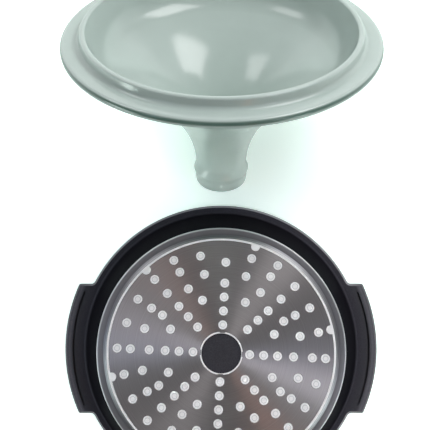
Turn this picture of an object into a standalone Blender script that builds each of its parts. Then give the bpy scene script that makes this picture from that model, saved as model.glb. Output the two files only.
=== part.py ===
"""A tagine taken apart: an upturned induction pan with its glazed lid lying behind it.

Three pieces make the real object: a cast pan with two lugs, a perforated steel plate let into
its underside, and a one-piece ceramic lid. The pan and the lid are each drawn in their pose of
use, mouth up and mouth down, and then laid on the ground plane as the photograph shows them.
Sizes are in metres, +Z is up, and the origin is on the ground in the middle of the layout.
"""

import math

import bmesh
import bpy

MM = 0.001

# Clearances
FIT_GAP = 0.3 * MM
SEAT_CLEARANCE = 1.2 * MM
LAYOUT_GAP = 12.0 * MM

# Pan: the bowl, drawn with the hob face at z = 0
PAN_HEIGHT = 52.0 * MM
PAN_WALL = 3.8 * MM
PAN_FLOOR = 6.5 * MM
PAN_INNER_CORNER = 16.0 * MM
PAN_HEEL_HEIGHT = 5.0 * MM
MOUTH_CHAMFER = 0.8 * MM

# Pan: the rim and the two lugs, one flat ledge
RIM_WIDTH = 12.6 * MM
RIM_THICKNESS = 6.5 * MM
RIM_EDGE_ROUND = 1.8 * MM
RIM_UNDER_COVE = 3.0 * MM
LUG_REACH = 12.5 * MM
LUG_LENGTH = 124.4 * MM
LUG_CORNER_ROUND = 2.2 * MM
LUG_ROOT_ROUND = 4.5 * MM
GRIP_GROOVE_WIDTH = 1.8 * MM
GRIP_GROOVE_DEPTH = 2.4 * MM
GRIP_GROOVE_LENGTH = 109.4 * MM
GRIP_LIP_WIDTH = 7.2 * MM

# Pan: the turned underside
BEARING_RING_WIDTH = 1.9 * MM
TURNED_BAND_WIDTH = 9.8 * MM
TURNED_BAND_RISE = 2.6 * MM
TURNED_BAND_STEP = 0.7 * MM
CENTRE_RING_WIDTH = 1.4 * MM
CENTRE_RECESS_DEPTH = 1.2 * MM

# Induction plate
PLATE_RADIUS = 103.4 * MM
PLATE_THICKNESS = 1.2 * MM
PLATE_BORE_RADIUS = 20.1 * MM
TAB_WIDTH = 4.2 * MM
TAB_REACH = 0.9 * MM
TAB_COUNT = 4
STUD_RADIUS = 4.2 * MM
FIRST_ROW_OFFSET = 6.0 * MM
EDGE_ROW_INSET = 0.4 * MM
PATTERN_TURN = math.radians(2.87)

# Rows of studs: place from the first row to the plate's edge in row pitches, first angle, count
ROW_PITCHES = 12
STUD_ROWS = (
    (0.0, 0.0, 4),
    (1.0, 45.0, 4),
    (2.0, 0.0, 4),
    (3.0, 45.0, 4),
    (4.0, 0.0, 4),
    (4.0, 22.5, 8),
    (5.0, 45.0, 4),
    (6.0, 30.0, 6),
    (6.3, 0.0, 6),
    (7.5, 15.0, 12),
    (7.85, 30.0, 2),
    (7.85, 150.0, 2),
    (9.0, 0.0, 4),
    (9.0, 60.0, 2),
    (9.0, 120.0, 2),
    (10.2, 15.0, 12),
    (10.2, 30.0, 2),
    (10.2, 150.0, 2),
    (10.9, 0.0, 6),
    (12.0, 45.0, 6),
)

# Lid: the flange that rests on the rim and the ring that drops into the mouth, seat at z = 0
FLANGE_RADIUS = 140.0 * MM
FLANGE_THICKNESS = 8.0 * MM
FLANGE_EDGE_ROUND = 3.9 * MM
LOCATING_RING_RADIUS = 124.0 * MM
LOCATING_RING_DROP = 9.8 * MM
LOCATING_RING_WIDTH = 4.6 * MM
LOCATING_RING_TAPER = 1.4 * MM
LOCATING_RING_ROUND = 2.0 * MM
RING_FOOT_ROUND = 4.5 * MM

# Lid: the hat, from a low shoulder up to the knob
LID_HEIGHT = 151.8 * MM
LID_WALL = 6.5 * MM
SHOULDER_INSET = 20.5 * MM
SHOULDER_HEIGHT = 18.0 * MM
SHOULDER_ROUND = 9.0 * MM
SHOULDER_FOOT_ROUND = 5.0 * MM
CONE_FOOT_RADIUS = 110.0 * MM
CONE_FOOT_HEIGHT = 26.0 * MM
CONE_BELLY_RADIUS = 48.0 * MM
CONE_BELLY_HEIGHT = 54.0 * MM
NECK_RADIUS = 23.7 * MM
NECK_HEIGHT = 131.0 * MM
NECK_RUN = 34.4 * MM
INNER_WALL_DRAFT = 8.5 * MM
INNER_WALL_HEIGHT = 19.1 * MM
INNER_WALL_ROUND = 30.0 * MM
INNER_BLEND_RUN = 22.0 * MM

# Lid: the knob
KNOB_RADIUS = 25.3 * MM
KNOB_WIDEST_HEIGHT = 140.6 * MM
KNOB_SIDE_ROUND = 3.0 * MM
KNOB_END_RADIUS = 23.1 * MM
KNOB_END_ROUND = 4.0 * MM
KNOB_BORE_RADIUS = 12.0 * MM
KNOB_CROWN = 14.0 * MM
KNOB_BORE_ROUND = 6.0 * MM

# Facets
TURNED_STEPS = 56
STUD_SIDES = 8
ARC_STEP = math.radians(36.0)
CONE_STEPS = 8
LUG_ARC_STEPS = 8
CUT_MARGIN = 3.0 * MM

# Derived sizes
SEAT_RADIUS = LOCATING_RING_RADIUS + SEAT_CLEARANCE
RIM_RADIUS = SEAT_RADIUS + RIM_WIDTH
LUG_RADIUS = RIM_RADIUS + LUG_REACH
BEARING_RADIUS = PLATE_RADIUS + FIT_GAP + BEARING_RING_WIDTH
HEEL_RADIUS = BEARING_RADIUS + TURNED_BAND_WIDTH
CENTRE_RING_RADIUS = PLATE_BORE_RADIUS - FIT_GAP
POCKET_DEPTH = PLATE_THICKNESS + FIT_GAP
FIRST_ROW_RADIUS = PLATE_BORE_RADIUS + FIRST_ROW_OFFSET
ROW_PITCH = (PLATE_RADIUS - EDGE_ROW_INSET - FIRST_ROW_RADIUS) / ROW_PITCHES


def clear_scene():
    """Remove every object that the opened file holds."""
    for item in list(bpy.data.objects):
        bpy.data.objects.remove(item, do_unlink=True)


def linear_colour(hex_text):
    """Turn an sRGB hex colour into the linear RGBA that a shader takes."""
    channels = [int(hex_text[i:i + 2], 16) / 255 for i in (0, 2, 4)]
    linear = [c / 12.92 if c <= 0.04045 else ((c + 0.055) / 1.055) ** 2.4 for c in channels]
    return (*linear, 1.0)


def finish(name, hex_text, roughness, metallic):
    """A plain Principled material with the piece's colour, roughness and metallic value."""
    material = bpy.data.materials.new(name)
    material.use_nodes = True
    shader = material.node_tree.nodes["Principled BSDF"]
    shader.inputs["Base Color"].default_value = linear_colour(hex_text)
    shader.inputs["Roughness"].default_value = roughness
    shader.inputs["Metallic"].default_value = metallic
    return material


def new_object(name, mesh):
    """Link a mesh to the scene as one object."""
    item = bpy.data.objects.new(name, mesh)
    bpy.context.scene.collection.objects.link(item)
    return item


def make_guide(item):
    """Mark an object as a cutter or guide that is not a piece of the tagine."""
    item.hide_render = True
    item.display_type = "WIRE"
    return item


def combine(target, other, operation):
    """Cut from or join to a target with another object, left live as a modifier."""
    modifier = target.modifiers.new(other.name, "BOOLEAN")
    modifier.operation = operation
    modifier.solver = "EXACT"
    modifier.object = make_guide(other)


def shade_round(item):
    """Shade a round piece smooth and keep its corners crisp."""
    item.data.shade_smooth()
    item.data.set_sharp_from_angle(angle=math.radians(35.0))


def rounded_outline(corners):
    """Points of an outline given as (x, y, radius) corners, each rounded by its radius."""
    points = []
    last = len(corners) - 1
    for index, (x, y, radius) in enumerate(corners):
        if radius == 0.0 or index in (0, last):
            points.append((x, y))
            continue
        before = (corners[index - 1][0] - x, corners[index - 1][1] - y)
        after = (corners[index + 1][0] - x, corners[index + 1][1] - y)
        length_before = math.hypot(*before)
        length_after = math.hypot(*after)
        before = (before[0] / length_before, before[1] / length_before)
        after = (after[0] / length_after, after[1] / length_after)
        cosine = max(-1.0, min(1.0, before[0] * after[0] + before[1] * after[1]))
        half = math.acos(cosine) / 2
        # a fillet is limited by the runs beside it
        setback = min(radius / math.tan(half), 0.48 * length_before, 0.48 * length_after)
        radius = setback * math.tan(half)
        middle = (before[0] + after[0], before[1] + after[1])
        spread = math.hypot(*middle)
        reach = radius / math.sin(half)
        centre = (x + middle[0] / spread * reach, y + middle[1] / spread * reach)
        start = (x + before[0] * setback - centre[0], y + before[1] * setback - centre[1])
        stop = (x + after[0] * setback - centre[0], y + after[1] * setback - centre[1])
        turn = math.atan2(start[0] * stop[1] - start[1] * stop[0],
                          start[0] * stop[0] + start[1] * stop[1])
        steps = max(1, math.ceil(abs(turn) / ARC_STEP))
        for step in range(steps + 1):
            angle = turn * step / steps
            points.append((centre[0] + start[0] * math.cos(angle) - start[1] * math.sin(angle),
                           centre[1] + start[0] * math.sin(angle) + start[1] * math.cos(angle)))
    return points


def bezier(start, first_handle, second_handle, stop, steps):
    """Points along a cubic curve between two ends with their handles."""
    points = []
    for step in range(steps + 1):
        t = step / steps
        weights = ((1 - t) ** 3, 3 * t * (1 - t) ** 2, 3 * t * t * (1 - t), t ** 3)
        knots = (start, first_handle, second_handle, stop)
        points.append(tuple(sum(w * knot[axis] for w, knot in zip(weights, knots))
                            for axis in (0, 1)))
    return points


def offset_inwards(points, distance):
    """A curve moved towards the axis by a wall's thickness, square to itself."""
    moved = []
    for index, point in enumerate(points):
        before = points[max(index - 1, 0)]
        after = points[min(index + 1, len(points) - 1)]
        run = (after[0] - before[0], after[1] - before[1])
        length = math.hypot(*run)
        moved.append((point[0] + run[1] / length * distance, point[1] - run[0] / length * distance))
    return moved


def turned_solid(name, outline):
    """A solid of revolution about Z from an outline that runs down its outer side."""
    mesh = bpy.data.meshes.new(name)
    mesh.from_pydata([(r, 0.0, z) for r, z in outline],
                     [(i, i + 1) for i in range(len(outline) - 1)], [])
    item = new_object(name, mesh)
    screw = item.modifiers.new("turn", "SCREW")
    screw.axis = "Z"
    screw.steps = TURNED_STEPS
    screw.render_steps = TURNED_STEPS
    screw.use_merge_vertices = True
    screw.merge_threshold = 0.00005
    screw.use_smooth_shade = True
    return item


def extruded_solid(name, outline, bottom, top):
    """A solid with an outline in plan, given anticlockwise, between two heights."""
    model = bmesh.new()
    face = model.faces.new([model.verts.new((x, y, bottom)) for x, y in outline])
    grown = bmesh.ops.extrude_face_region(model, geom=[face])
    raised = [v for v in grown["geom"] if isinstance(v, bmesh.types.BMVert)]
    bmesh.ops.translate(model, vec=(0.0, 0.0, top - bottom), verts=raised)
    bmesh.ops.recalc_face_normals(model, faces=model.faces)
    mesh = bpy.data.meshes.new(name)
    model.to_mesh(mesh)
    model.free()
    return new_object(name, mesh)


def circle(radius, sides, centre=(0.0, 0.0), start=0.0):
    """Points of a circle in plan, anticlockwise."""
    return [(centre[0] + radius * math.cos(start + math.tau * i / sides),
             centre[1] + radius * math.sin(start + math.tau * i / sides)) for i in range(sides)]


def arc(radius, start, stop, steps, centre=(0.0, 0.0)):
    """Points of an arc in plan from one angle to another."""
    return [(centre[0] + radius * math.cos(start + (stop - start) * i / steps),
             centre[1] + radius * math.sin(start + (stop - start) * i / steps))
            for i in range(steps + 1)]


def lug_outline():
    """The right-hand lug's edge in plan, from its lower root on the rim to its upper one."""
    half = LUG_LENGTH / 2
    root_centre = (math.sqrt((RIM_RADIUS + LUG_ROOT_ROUND) ** 2 - (half + LUG_ROOT_ROUND) ** 2),
                   half + LUG_ROOT_ROUND)
    corner_centre = (math.sqrt((LUG_RADIUS - LUG_CORNER_ROUND) ** 2
                               - (half - LUG_CORNER_ROUND) ** 2), half - LUG_CORNER_ROUND)
    corner_angle = math.atan2(corner_centre[1], corner_centre[0])
    root_angle = math.atan2(root_centre[1], root_centre[0])
    upper = arc(LUG_CORNER_ROUND, corner_angle, math.pi / 2, 3, corner_centre)
    upper += arc(LUG_ROOT_ROUND, -math.pi / 2, root_angle - math.pi, 3, root_centre)
    lower = [(x, -y) for x, y in reversed(upper)]
    return lower + arc(LUG_RADIUS, -corner_angle, corner_angle, LUG_ARC_STEPS)[1:-1] + upper


def ledge_outline():
    """The rim's outer edge in plan with both lugs, anticlockwise."""
    right = lug_outline()
    left = [(-x, -y) for x, y in right]
    root = math.atan2(right[-1][1], right[-1][0])
    steps = round(TURNED_STEPS * (math.pi - 2 * root) / math.tau)
    back = arc(RIM_RADIUS, root, math.pi - root, steps)[1:-1]
    front = [(-x, -y) for x, y in back]
    return right + back + left + front


def grip_groove(side):
    """The cutter of the groove under one lug, inside its lip."""
    outer = LUG_RADIUS - GRIP_LIP_WIDTH
    inner = outer - GRIP_GROOVE_WIDTH
    half = math.asin(GRIP_GROOVE_LENGTH / 2 / outer)
    outline = arc(outer, -half, half, LUG_ARC_STEPS) + arc(inner, half, -half, LUG_ARC_STEPS)
    outline = [(side * x, side * y) for x, y in outline]
    ledge = PAN_HEIGHT - RIM_THICKNESS
    name = "grip_groove_right" if side > 0 else "grip_groove_left"
    return extruded_solid(name, outline, ledge - CUT_MARGIN, ledge + GRIP_GROOVE_DEPTH)


def bore_outline(radius, reach, width):
    """The plate's centre bore in plan, with its small tabs standing inwards."""
    half = math.asin(width / 2 / radius)
    tip = radius - reach
    points = []
    for index in range(TAB_COUNT):
        tab = math.tau * index / TAB_COUNT + PATTERN_TURN
        following = tab + math.tau / TAB_COUNT
        for angle, sign in ((tab, -1), (tab, 1)):
            across = sign * width / 2
            along = math.sqrt(tip * tip - across * across)
            points.append((along * math.cos(angle) - across * math.sin(angle),
                           along * math.sin(angle) + across * math.cos(angle)))
        points += arc(radius, tab + half, following - half, 6)
    return points


def stud_centres():
    """The centre of every stud, row by row, in plan."""
    centres = []
    for place, first, count in STUD_ROWS:
        radius = FIRST_ROW_RADIUS + place * ROW_PITCH
        for index in range(round(count)):
            angle = math.radians(first) + math.tau * index / count + PATTERN_TURN
            centres.append((radius * math.cos(angle), radius * math.sin(angle), angle))
    return centres


def perforated_disc(name, grow, bottom, top):
    """The induction plate's own shape between two heights, grown all round by a gap.

    With a gap of zero it is the plate, and with the fit gap it is the pocket that takes it,
    whose holes leave the studs standing.
    """
    disc = extruded_solid(name, circle(PLATE_RADIUS + grow, TURNED_STEPS), bottom, top)
    low = bottom - CUT_MARGIN
    high = top + CUT_MARGIN
    bore = bore_outline(PLATE_BORE_RADIUS - grow, TAB_REACH, TAB_WIDTH + 2 * grow)
    combine(disc, extruded_solid(f"{name}_bore", bore, low, high), "DIFFERENCE")
    holes = bmesh.new()
    for x, y, angle in stud_centres():
        ring = [holes.verts.new((px, py, low)) for px, py in
                circle(STUD_RADIUS + FIT_GAP - grow, STUD_SIDES, (x, y), angle)]
        face = holes.faces.new(ring)
        grown = bmesh.ops.extrude_face_region(holes, geom=[face])
        raised = [v for v in grown["geom"] if isinstance(v, bmesh.types.BMVert)]
        bmesh.ops.translate(holes, vec=(0.0, 0.0, high - low), verts=raised)
    bmesh.ops.recalc_face_normals(holes, faces=holes.faces)
    mesh = bpy.data.meshes.new(f"{name}_holes")
    holes.to_mesh(mesh)
    holes.free()
    combine(disc, new_object(f"{name}_holes", mesh), "DIFFERENCE")
    return disc


def pan_body():
    """The pan's outer form below its ledge, solid, before it is hollowed."""
    ledge = PAN_HEIGHT - RIM_THICKNESS
    wall_top = SEAT_RADIUS + PAN_WALL
    outline = rounded_outline((
        (0.0, ledge + RIM_THICKNESS / 2, 0.0),
        (wall_top + RIM_UNDER_COVE, ledge + RIM_THICKNESS / 2, 0.0),
        (wall_top + RIM_UNDER_COVE, ledge, 0.0),
        (wall_top, ledge - RIM_UNDER_COVE, 0.0),
        (HEEL_RADIUS, PAN_HEEL_HEIGHT, RIM_EDGE_ROUND),
        (HEEL_RADIUS - TURNED_BAND_STEP, TURNED_BAND_RISE, 0.0),
        (BEARING_RADIUS + TURNED_BAND_WIDTH / 3, TURNED_BAND_RISE, 0.0),
        (BEARING_RADIUS, TURNED_BAND_STEP, 0.0),
        (BEARING_RADIUS, 0.0, 0.0),
        (0.0, 0.0, 0.0),
    ))
    return turned_solid("pan", outline)


def pan_hollow():
    """The cutter of the pan's inside, from above its mouth down to the cooking floor."""
    floor_radius = SEAT_RADIUS - (wall_slope() * (PAN_HEIGHT - PAN_FLOOR))
    outline = rounded_outline((
        (0.0, PAN_HEIGHT + CUT_MARGIN, 0.0),
        (SEAT_RADIUS + MOUTH_CHAMFER + CUT_MARGIN, PAN_HEIGHT + CUT_MARGIN, 0.0),
        (SEAT_RADIUS, PAN_HEIGHT - MOUTH_CHAMFER, 0.0),
        (floor_radius, PAN_FLOOR, PAN_INNER_CORNER),
        (0.0, PAN_FLOOR, 0.0),
    ))
    return turned_solid("pan_hollow", outline)


def wall_slope():
    """How far the pan's wall leans out for each unit of height."""
    rise = PAN_HEIGHT - RIM_THICKNESS - RIM_UNDER_COVE - PAN_HEEL_HEIGHT
    return (SEAT_RADIUS + PAN_WALL - HEEL_RADIUS) / rise


def build_pan():
    """The cast pan: bowl, ledge with lugs, grip grooves, plate pocket with studs, centre recess."""
    pan = pan_body()
    ledge = extruded_solid("ledge", ledge_outline(), PAN_HEIGHT - RIM_THICKNESS, PAN_HEIGHT)
    rounding = ledge.modifiers.new("edge", "BEVEL")
    rounding.width = RIM_EDGE_ROUND
    rounding.segments = 2
    rounding.limit_method = "ANGLE"
    rounding.angle_limit = math.radians(60.0)
    combine(pan, ledge, "UNION")
    combine(pan, pan_hollow(), "DIFFERENCE")
    for side in (1, -1):
        combine(pan, grip_groove(side), "DIFFERENCE")
    pocket = perforated_disc("plate_pocket", FIT_GAP, -CUT_MARGIN, POCKET_DEPTH)
    combine(pan, pocket, "DIFFERENCE")
    recess = extruded_solid("centre_recess",
                            circle(CENTRE_RING_RADIUS - CENTRE_RING_WIDTH, TURNED_STEPS // 2),
                            -CUT_MARGIN, CENTRE_RECESS_DEPTH)
    combine(pan, recess, "DIFFERENCE")
    pan.data.materials.append(finish("black_coated_cast_aluminium", "212025", 0.42, 0.0))
    shade_round(pan)
    return pan


def build_plate():
    """The perforated steel plate, flush with the pan's bearing ring."""
    plate = perforated_disc("induction_plate", 0.0, 0.0, PLATE_THICKNESS)
    plate.data.materials.append(finish("turned_stainless_steel", "8C8A8C", 0.32, 1.0))
    shade_round(plate)
    return plate


def cone_curve():
    """The hat's outer curve from the neck down to the shoulder."""
    return bezier((NECK_RADIUS, NECK_HEIGHT),
                  (NECK_RADIUS, NECK_HEIGHT - NECK_RUN),
                  (CONE_BELLY_RADIUS, CONE_BELLY_HEIGHT),
                  (CONE_FOOT_RADIUS, CONE_FOOT_HEIGHT), CONE_STEPS)


def lid_outline():
    """The lid's section from the knob's top down its outer side and up its inner side."""
    cone = cone_curve()
    bore_top = LID_HEIGHT - KNOB_CROWN
    ring_foot = LOCATING_RING_RADIUS
    ring_tip = LOCATING_RING_RADIUS - LOCATING_RING_TAPER
    inner_lip = ring_tip - LOCATING_RING_WIDTH
    inner_corner = inner_lip - INNER_WALL_DRAFT
    # the inner cone runs from the bore to where the large round of the inner wall takes over
    inner_cone = [p for p in offset_inwards(cone, LID_WALL)
                  if KNOB_BORE_RADIUS < p[0] < inner_corner - INNER_BLEND_RUN]
    shoulder = FLANGE_RADIUS - SHOULDER_INSET
    corners = [
        (0.0, LID_HEIGHT, 0.0),
        (KNOB_END_RADIUS, LID_HEIGHT, KNOB_END_ROUND),
        (KNOB_RADIUS, KNOB_WIDEST_HEIGHT, KNOB_SIDE_ROUND),
        *((r, z, 0.0) for r, z in cone),
        (shoulder, SHOULDER_HEIGHT, SHOULDER_ROUND),
        (shoulder, FLANGE_THICKNESS, SHOULDER_FOOT_ROUND),
        (FLANGE_RADIUS, FLANGE_THICKNESS, FLANGE_EDGE_ROUND),
        (FLANGE_RADIUS, 0.0, FLANGE_EDGE_ROUND),
        (ring_foot, 0.0, RING_FOOT_ROUND),
        (ring_tip, -LOCATING_RING_DROP, LOCATING_RING_ROUND),
        (inner_lip, -LOCATING_RING_DROP, LOCATING_RING_ROUND),
        (inner_corner, INNER_WALL_HEIGHT, INNER_WALL_ROUND),
        *((r, z, 0.0) for r, z in reversed(inner_cone)),
        (KNOB_BORE_RADIUS, bore_top, KNOB_BORE_ROUND),
        (0.0, bore_top, 0.0),
    ]
    return rounded_outline(corners)


def build_lid(outline):
    """The one-piece glazed lid."""
    lid = turned_solid("lid", outline)
    lid.data.materials.append(finish("celadon_glazed_stoneware", "B9C8C2", 0.14, 0.0))
    return lid


def resting_tilt(outline):
    """The lid's tilt, and its seat centre's height, when it lies on its flange and its knob."""
    tilt = math.radians(45.0)
    for _ in range(12):
        def reach(point):
            return point[0] * math.cos(tilt) + point[1] * math.sin(tilt)

        edge = max((p for p in outline if p[1] < LID_HEIGHT / 2), key=reach)
        knob = max((p for p in outline if p[1] > LID_HEIGHT / 2), key=reach)
        tilt = math.atan2(edge[0] - knob[0], knob[1] - edge[1])
    return tilt, edge[0] * math.cos(tilt) + edge[1] * math.sin(tilt)


def lid_span(outline, tilt):
    """The lid's reach towards the pan and away from it, measured from its seat centre."""
    forward = max(z * math.cos(tilt) + r * math.sin(tilt) for r, z in outline)
    backward = max(r * math.sin(tilt) - z * math.cos(tilt) for r, z in outline)
    return forward, backward


def lay_out(pan, plate, lid, outline):
    """Turn the pan over, lay the lid on its side behind it, and centre the two on the origin."""
    tilt, seat_height = resting_tilt(outline)
    forward, backward = lid_span(outline, tilt)
    length = 2 * RIM_RADIUS + LAYOUT_GAP + forward + backward
    pan_stand = new_object("pan_stand", None)
    pan_stand.location = (0.0, RIM_RADIUS - length / 2, PAN_HEIGHT)
    pan_stand.rotation_euler = (math.pi, 0.0, 0.0)
    lid_stand = new_object("lid_stand", None)
    lid_stand.location = (0.0, length / 2 - backward, seat_height)
    lid_stand.rotation_euler = (math.pi / 2 + tilt, 0.0, 0.0)
    for item in list(bpy.context.scene.collection.objects):
        if item.type == "MESH":
            item.parent = lid_stand if item is lid else pan_stand
    print(f"lid tilt {math.degrees(tilt):.2f} deg, seat centre at {tuple(lid_stand.location)}")
    print(f"pan centre at {tuple(pan_stand.location)}, layout {length:.4f} long")


def main():
    clear_scene()
    outline = lid_outline()
    lay_out(build_pan(), build_plate(), build_lid(outline), outline)


main()
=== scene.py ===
"""Looks of a two-part tagine: a celadon lid lying behind its upturned induction pan.

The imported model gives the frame. Each of its three parts is modelled again here with fine
curves, in its pose of use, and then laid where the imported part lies. The parts' sizes are in
millimetres and become metres when a mesh is made. The studio's and the camera's are in metres.
"""

import logging
import math
from dataclasses import dataclass, field
from enum import Enum
from typing import Callable, Iterable, Sequence

import bpy
from mathutils import Matrix, Vector


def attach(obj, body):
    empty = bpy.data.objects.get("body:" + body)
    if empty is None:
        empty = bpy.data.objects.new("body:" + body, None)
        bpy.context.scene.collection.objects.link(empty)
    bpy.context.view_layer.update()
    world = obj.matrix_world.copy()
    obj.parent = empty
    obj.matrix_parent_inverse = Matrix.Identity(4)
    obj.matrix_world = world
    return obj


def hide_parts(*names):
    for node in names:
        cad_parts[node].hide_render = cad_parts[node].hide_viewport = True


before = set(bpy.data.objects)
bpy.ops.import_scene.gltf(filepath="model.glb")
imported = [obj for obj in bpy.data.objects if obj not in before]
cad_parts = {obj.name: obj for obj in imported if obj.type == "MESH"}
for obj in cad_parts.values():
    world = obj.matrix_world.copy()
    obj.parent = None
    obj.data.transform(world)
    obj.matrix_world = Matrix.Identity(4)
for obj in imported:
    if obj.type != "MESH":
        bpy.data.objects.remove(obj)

MM = 0.001
WELD = 0.01 * MM
# the turn of one facet of a rounded corner, and the most of a side that one corner takes
ARC_STEP = math.radians(9.0)
SETBACK_SHARE = 0.48
# how far a cutter stands out past what it cuts, in millimetres
OVERRUN = 3.0
# the inputs of a Map Range node
SPAN = ("From Min", "From Max", "To Min", "To Max")
log = logging.getLogger("tagine")

Point2 = tuple[float, float]
Corner = tuple[float, float, float]
Colour = tuple[float, float, float, float]
Band = tuple[float, str]
Piece = bpy.types.Object
Tree = bpy.types.NodeTree
Source = bpy.types.NodeSocket | bpy.types.Node


class Blend(Enum):
    """How one solid works on another."""

    JOIN = "UNION"
    CUT = "DIFFERENCE"


class PanZone(Enum):
    """The finishes of the casting, in the order of its material slots."""

    COATED = 0
    BARE = 1
    HEEL = 2
    RECESS = 3
    # light grey painted on the bevelled edges of the ledge and lugs: a painted highlight
    RUBBED = 4
    MARK = 5


# ---- colour and nodes


def linear(hex_text: str) -> Colour:
    """Turn an sRGB hex colour into linear RGBA.

    Args:
        hex_text: Six hexadecimal digits.

    Returns:
        The colour as shaders and lamps take it.
    """
    channels = [int(hex_text[i:i + 2], 16) / 255 for i in (0, 2, 4)]
    return (*(c / 12.92 if c <= 0.04045 else ((c + 0.055) / 1.055) ** 2.4 for c in channels), 1.0)


def feed(tree: Tree, node: bpy.types.Node, settings: dict | None = None,
         links: dict | None = None) -> None:
    """Give a node its settings and its incoming links.

    Args:
        tree: The material's or the world's node tree.
        node: The node.
        settings: Values by property name, or by input name or number.
        links: Sockets, or nodes whose first output is meant, by the input that they feed.
    """
    for key, value in (settings or {}).items():
        if isinstance(key, str) and hasattr(node, key):
            setattr(node, key, value)
        else:
            node.inputs[key].default_value = value
    for key, source in (links or {}).items():
        socket = source.outputs[0] if isinstance(source, bpy.types.Node) else source
        tree.links.new(socket, node.inputs[key])


def add_node(tree: Tree, kind: str, settings: dict | None = None,
             links: dict | None = None) -> bpy.types.Node:
    """Add one shader node with its settings and its incoming links.

    Args:
        tree: The material's or the world's node tree.
        kind: The node's type name, without the common prefix.
        settings: Its values, as feed takes them.
        links: Its incoming links, as feed takes them.

    Returns:
        The new node.
    """
    node = tree.nodes.new("ShaderNode" + kind)
    feed(tree, node, settings, links)
    return node


def ramp_stops(node: bpy.types.Node, stops: Sequence[tuple[float, Colour]]) -> None:
    """Give a colour ramp its stops.

    Args:
        node: The colour ramp.
        stops: Pairs of place and colour, in rising order.
    """
    elements = node.color_ramp.elements
    while len(elements) < len(stops):
        elements.new(0.5)
    for element, (place, colour) in zip(elements, stops):
        element.position = place
        element.color = colour


def fresh_material(name: str) -> tuple[bpy.types.Material, bpy.types.Node]:
    """Make a material that holds only its Principled shader.

    Args:
        name: The finish's own name.

    Returns:
        The material and its shader node.
    """
    material = bpy.data.materials.new(name)
    material.use_nodes = True
    return material, material.node_tree.nodes["Principled BSDF"]


def lathe_frame(tree: Tree, place: Matrix) -> tuple[Source, ...]:
    """Give a material the frame that its turned piece was drawn in.

    Args:
        tree: The material's node tree.
        place: Where the piece's own frame lies in the layout.

    Returns:
        The point in the layout, the point in the piece's own frame, and its distance from the
        piece's axis.
    """
    laid = add_node(tree, "TexCoord").outputs["Object"]
    home = place.inverted()
    own = add_node(tree, "Mapping", {"Location": home.to_translation(),
                                     "Rotation": home.to_euler()}, {"Vector": laid})
    flat = add_node(tree, "VectorMath", {"operation": "MULTIPLY", 1: (1.0, 1.0, 0.0)},
                    {0: own})
    radius = add_node(tree, "VectorMath", {"operation": "LENGTH"}, {0: flat})
    return laid, own, radius.outputs["Value"]


def tone_bands(tree: Tree, radius: Source, bands: Sequence[Band]) -> Source:
    """Colour a turned piece by the distance from its axis.

    Args:
        tree: The material's node tree.
        radius: The distance from the axis.
        bands: Pairs of radius in millimetres and hex colour, in rising order.

    Returns:
        The colour.
    """
    first, last = bands[0][0], bands[-1][0]
    across = add_node(tree, "MapRange", dict(zip(SPAN, (first * MM, last * MM))),
                      {"Value": radius})
    ramp = add_node(tree, "ValToRGB", None, {"Fac": across})
    ramp_stops(ramp, [((place - first) / (last - first), linear(tone)) for place, tone in bands])
    return ramp


def seen_rays(tree: Tree) -> Source:
    """Tell the rays that see a surface, straight or in gloss or glass, from those that light.

    Args:
        tree: The node tree of the table or the room.

    Returns:
        One for a ray that sees, and zero for one that lights.
    """
    ray = add_node(tree, "LightPath")
    seen = ray.outputs["Is Camera Ray"]
    for kind in ("Is Glossy Ray", "Is Transmission Ray"):
        seen = add_node(tree, "Math", {"operation": "MAXIMUM"}, {0: seen, 1: ray.outputs[kind]})
    return seen


# ---- outlines


def rounded(corners: Sequence[Corner]) -> list[Point2]:
    """Round an outline's corners by arcs.

    Args:
        corners: Corners as across, up and radius. The two ends stay sharp.

    Returns:
        The outline's points.
    """
    points: list[Point2] = []
    last = len(corners) - 1
    for index, (x, y, radius) in enumerate(corners):
        if radius == 0.0 or index in (0, last):
            points.append((x, y))
            continue
        here = Vector((x, y))
        before = Vector(corners[index - 1][:2]) - here
        after = Vector(corners[index + 1][:2]) - here
        half = before.angle(after) / 2
        setback = min(radius / math.tan(half), SETBACK_SHARE * before.length,
                      SETBACK_SHARE * after.length)
        arc_radius = setback * math.tan(half)
        middle = (before.normalized() + after.normalized()).normalized()
        centre = here + middle * (arc_radius / math.sin(half))
        start = here + before.normalized() * setback - centre
        stop = here + after.normalized() * setback - centre
        turn = math.atan2(start.x * stop.y - start.y * stop.x, start.dot(stop))
        steps = max(1, math.ceil(abs(turn) / ARC_STEP))
        for count in range(steps + 1):
            angle = turn * count / steps
            points.append((centre.x + start.x * math.cos(angle) - start.y * math.sin(angle),
                           centre.y + start.x * math.sin(angle) + start.y * math.cos(angle)))
    return points


def bezier(knots: Sequence[Point2], steps: int) -> list[Point2]:
    """Points along a cubic curve.

    Args:
        knots: The start, its handle, the end's handle and the end.
        steps: The number of facets.

    Returns:
        The curve's points, both ends included.
    """
    points = []
    for count in range(steps + 1):
        t = count / steps
        weights = ((1 - t) ** 3, 3 * t * (1 - t) ** 2, 3 * t * t * (1 - t), t ** 3)
        points.append(tuple(sum(w * knot[axis] for w, knot in zip(weights, knots))
                            for axis in (0, 1)))
    return points


def moved_inwards(points: Sequence[Point2], distance: float) -> list[Point2]:
    """Move a curve square to itself, towards the axis.

    Args:
        points: The curve's points.
        distance: How far it moves.

    Returns:
        The moved points.
    """
    moved = []
    for index, (x, y) in enumerate(points):
        before = Vector(points[max(index - 1, 0)])
        run = (Vector(points[min(index + 1, len(points) - 1)]) - before).normalized()
        moved.append((x + run.y * distance, y - run.x * distance))
    return moved


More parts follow.
